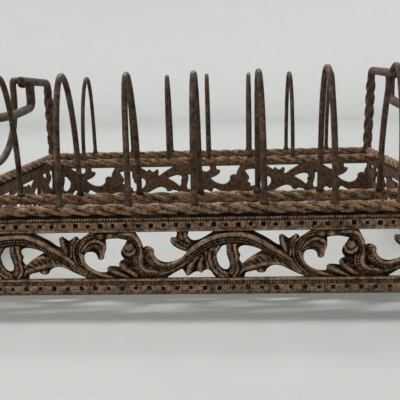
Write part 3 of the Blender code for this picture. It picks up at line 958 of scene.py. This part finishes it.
def rusty_iron(name, body, worn, bloom_amount, dullness, haze_amount, crust_amount):
    """Aged iron: painted shade in recesses, worn on ridges, with rust bloom, grey haze, olive
    patches, black crust and specks, and a pitted surface. Dullness is the lowest roughness.
    """
    material = bpy.data.materials.new(name)
    material.use_nodes = True
    tree = material.node_tree
    place = add_node(tree, "ShaderNodeTexCoord").outputs["Object"]
    cavity = add_node(tree, "ShaderNodeAttribute", attribute_name="cavity").outputs["Fac"]
    blotch = noise_node(tree, place, 11 * MM, 4)
    patch = noise_node(tree, place, 4.5 * MM, 5)
    speck = noise_node(tree, place, 1.3 * MM, 4)
    grain = noise_node(tree, place, 0.5 * MM, 2)

    # Colour level from the cavity: painted shade where it is high, worn colour where it is low.
    level = maths(tree, "MULTIPLY_ADD", cavity, 0.4)
    level.node.inputs[2].default_value = 0.5
    rough_level = maths(tree, "MULTIPLY_ADD", maths(tree, "SUBTRACT", speck, 0.5), 0.7)
    tree.links.new(level, rough_level.node.inputs[2])
    colour = ramp(tree, rough_level, [(0.18, worn), (0.48, body), (0.82, DARK)])
    bloom_mask = maths(tree, "MULTIPLY", spots(tree, patch, 0.5, 0.66), spots(tree, blotch, 0.4, 0.6))
    raised = maths(tree, "SUBTRACT", 1, spots(tree, cavity, 0.1, 0.7))
    bloom_mask = maths(tree, "MULTIPLY", bloom_mask, raised)
    colour = mix(tree, maths(tree, "MULTIPLY", bloom_mask, bloom_amount), colour, ORANGE)
    haze = maths(tree, "MULTIPLY", spots(tree, noise_node(tree, place, 7 * MM, 3), 0.5, 0.62), raised)
    colour = mix(tree, maths(tree, "MULTIPLY", haze, haze_amount), colour, GREY)
    olive = maths(tree, "MULTIPLY", spots(tree, noise_node(tree, place, 9 * MM, 4), 0.5, 0.64), 0.4)
    colour = mix(tree, olive, colour, OLIVE)
    crust = spots(tree, noise_node(tree, place, 3.2 * MM, 7), 0.5, 0.58)
    colour = mix(tree, maths(tree, "MULTIPLY", crust, crust_amount), colour, BLACK)
    soot = maths(tree, "MULTIPLY", spots(tree, speck, 0.56, 0.64), 0.75)
    colour = mix(tree, soot, colour, BLACK)

    relief = maths(tree, "MULTIPLY_ADD", grain, 0.4)
    tree.links.new(speck, relief.node.inputs[2])
    bump = add_node(tree, "ShaderNodeBump", {"Strength": 0.55, "Distance": 0.5 * MM,
                                             "Height": relief}).outputs["Normal"]
    dull = add_node(tree, "ShaderNodeMapRange", {"Value": patch, "From Min": 0.35, "From Max": 0.65,
                                                 "To Min": dullness, "To Max": dullness + 0.25})
    shader = tree.nodes["Principled BSDF"]
    for key, value in (("Base Color", colour), ("Normal", bump), ("Roughness", dull.outputs[0])):
        tree.links.new(value, shader.inputs[key])
    shine = add_node(tree, "ShaderNodeMapRange", {"Value": cavity, "From Min": -0.3, "From Max": 0.5,
                                                  "To Min": 0.45, "To Max": 0.04})
    tree.links.new(shine.outputs[0], shader.inputs["Specular IOR Level"])
    return material


def studio_paper():
    """Matt paper with a barely visible tooth, darker behind the rack as painted shade and
    palest on the wall as painted light.
    """
    material = bpy.data.materials.new("studio_paper")
    material.use_nodes = True
    tree = material.node_tree
    place = add_node(tree, "ShaderNodeTexCoord").outputs["Object"]
    offset = add_node(tree, "ShaderNodeVectorMath", {0: place, 1: PAPER_SHIFT}).outputs["Vector"]
    distance = add_node(tree, "ShaderNodeVectorMath", {0: offset}, operation="LENGTH").outputs["Value"]
    colour = mix(tree, spots(tree, distance, 0.42, 0.8), PAPER, PAINTED_SHADE_PAPER)
    colour = mix(tree, spots(tree, distance, 1.75, 2.25), colour, PAINTED_LIGHT_PAPER)
    stops = [(0.3, (1, 1, 1, 1)), (0.7, (0.97, 0.97, 0.97, 1))]
    tooth = ramp(tree, noise_node(tree, place, 60 * MM, 2), stops)
    shader = tree.nodes["Principled BSDF"]
    tree.links.new(mix(tree, 1, colour, tooth, "MULTIPLY"), shader.inputs["Base Color"])
    shader.inputs["Roughness"].default_value = 0.9
    return material


# ---- Stage, light and camera ----

def stage():
    """Round pale floor that sweeps up into a wall, so that every direction shows the same paper."""
    floor_radius = 1.1
    sweep_radius = 0.5
    wall_top = 1.7
    profile = [(0.0, 0.0), (floor_radius, 0.0)]
    steps = 12
    for i in range(1, steps + 1):
        t = pi / 2 * i / steps
        profile.append((floor_radius + sweep_radius * sin(t), sweep_radius * (1 - cos(t))))
    profile.append((floor_radius + sweep_radius, wall_top))
    around = 96
    points = [(0, 0, 0)]
    for radius, z in profile[1:]:
        points += [(radius * cos(t), radius * sin(t), z) for t in turns(around)]
    faces = [(0, 1 + j, 1 + (j + 1) % around) for j in range(around)]
    for i in range(len(profile) - 2):
        for j in range(around):
            k = (j + 1) % around
            a = 1 + i * around
            b = a + around
            faces.append((a + j, b + j, b + k, a + k))
    mesh = bpy.data.meshes.new("studio_floor")
    mesh.from_pydata(points, [], faces)
    mesh.shade_smooth()
    mesh.materials.append(studio_paper())
    floor = bpy.data.objects.new("studio_floor", mesh)
    bpy.context.scene.collection.objects.link(floor)


def area_light(name, place, size, power):
    """Lamp aimed at the middle of the rack; its longer side lies along X."""
    light = bpy.data.lights.new(name, "AREA")
    light.shape = "RECTANGLE"
    light.size, light.size_y = size
    light.energy = power
    lamp = bpy.data.objects.new(name, light)
    lamp.location = place
    lamp.rotation_euler = (Vector((0, 0, 0.04)) - Vector(place)).to_track_quat("-Z", "Y").to_euler()
    bpy.context.scene.collection.objects.link(lamp)


def lights():
    """A long strip behind casts the shadow band in front; soft fills stand in front and at the left."""
    area_light("rear_strip", (-0.1, 0.87, 1.36), (1.6, 0.08), 27)
    area_light("front_fill", (-0.35, -0.85, 1.0), (0.9, 0.5), 4)
    area_light("left_fill", (-1.0, -0.4, 0.7), (0.6, 0.6), 2.6)
    world = bpy.data.worlds.new("studio")
    world.use_nodes = True
    background = world.node_tree.nodes["Background"]
    background.inputs["Color"].default_value = (0.95, 0.98, 1, 1)
    background.inputs["Strength"].default_value = SKY_STRENGTH
    bpy.context.scene.world = world


def camera():
    data = bpy.data.cameras.new("camera")
    data.lens = CAMERA_LENS
    data.clip_start = 0.01
    holder = bpy.data.objects.new("camera", data)
    turn = Matrix.Rotation(radians(CAMERA_YAW), 4, "Z")
    tilt = Matrix.Rotation(radians(90 - CAMERA_PITCH), 4, "X")
    roll = Matrix.Rotation(radians(CAMERA_ROLL), 4, "Z")
    holder.matrix_world = Matrix.Translation(CAMERA_PLACE) @ turn @ tilt @ roll
    bpy.context.scene.collection.objects.link(holder)
    bpy.context.scene.camera = holder
    bpy.context.scene.view_settings.view_transform = "Standard"


def main():
    camera()
    lights()
    stage()
    cast = rusty_iron("cast_rust", BROWN, WORN,
                      bloom_amount=0.8, dullness=0.58, haze_amount=0.3, crust_amount=0.6)
    bars = rusty_iron("bar_rust", BAR_BROWN, BAR_WORN,
                      bloom_amount=0.85, dullness=0.58, haze_amount=0.3, crust_amount=0.65)
    posts = rusty_iron("post_rust", POST_BROWN, POST_WORN,
                       bloom_amount=0.45, dullness=0.5, haze_amount=0.15, crust_amount=0.6)
    wire = rusty_iron("wire_patina", UMBER, PLUM,
                      bloom_amount=0.4, dullness=0.4, haze_amount=0.08, crust_amount=0.6)
    scroll_band("front", (1, 0, 0), cast)
    scroll_band("rear", (-1, 0, 0), cast)
    scroll_band("left", (0, -1, 0), cast)
    scroll_band("right", (0, 1, 0), cast)
    for row, outward in (("front", (0, -1, 0)), ("rear", (0, 1, 0))):
        twisted_bar(f"bar_{row}_outer", f"twisted_bar_{row}_outer", outward, bars)
        twisted_bar(f"bar_{row}_inner", f"twisted_bar_{row}_inner", None, bars)
        for number in range(1, HOOPS_PER_ROW + 1):
            hoop(row, number, wire)
    for end, outward in (("left", (-1, 0, 0)), ("right", (1, 0, 0))):
        twisted_bar(f"bar_{end}", f"twisted_bar_{end}", outward, bars)
        grip(end, wire)
        hanging_loop(end, wire)
        for row in ("front", "rear"):
            corner_post(row, end, posts)


main()
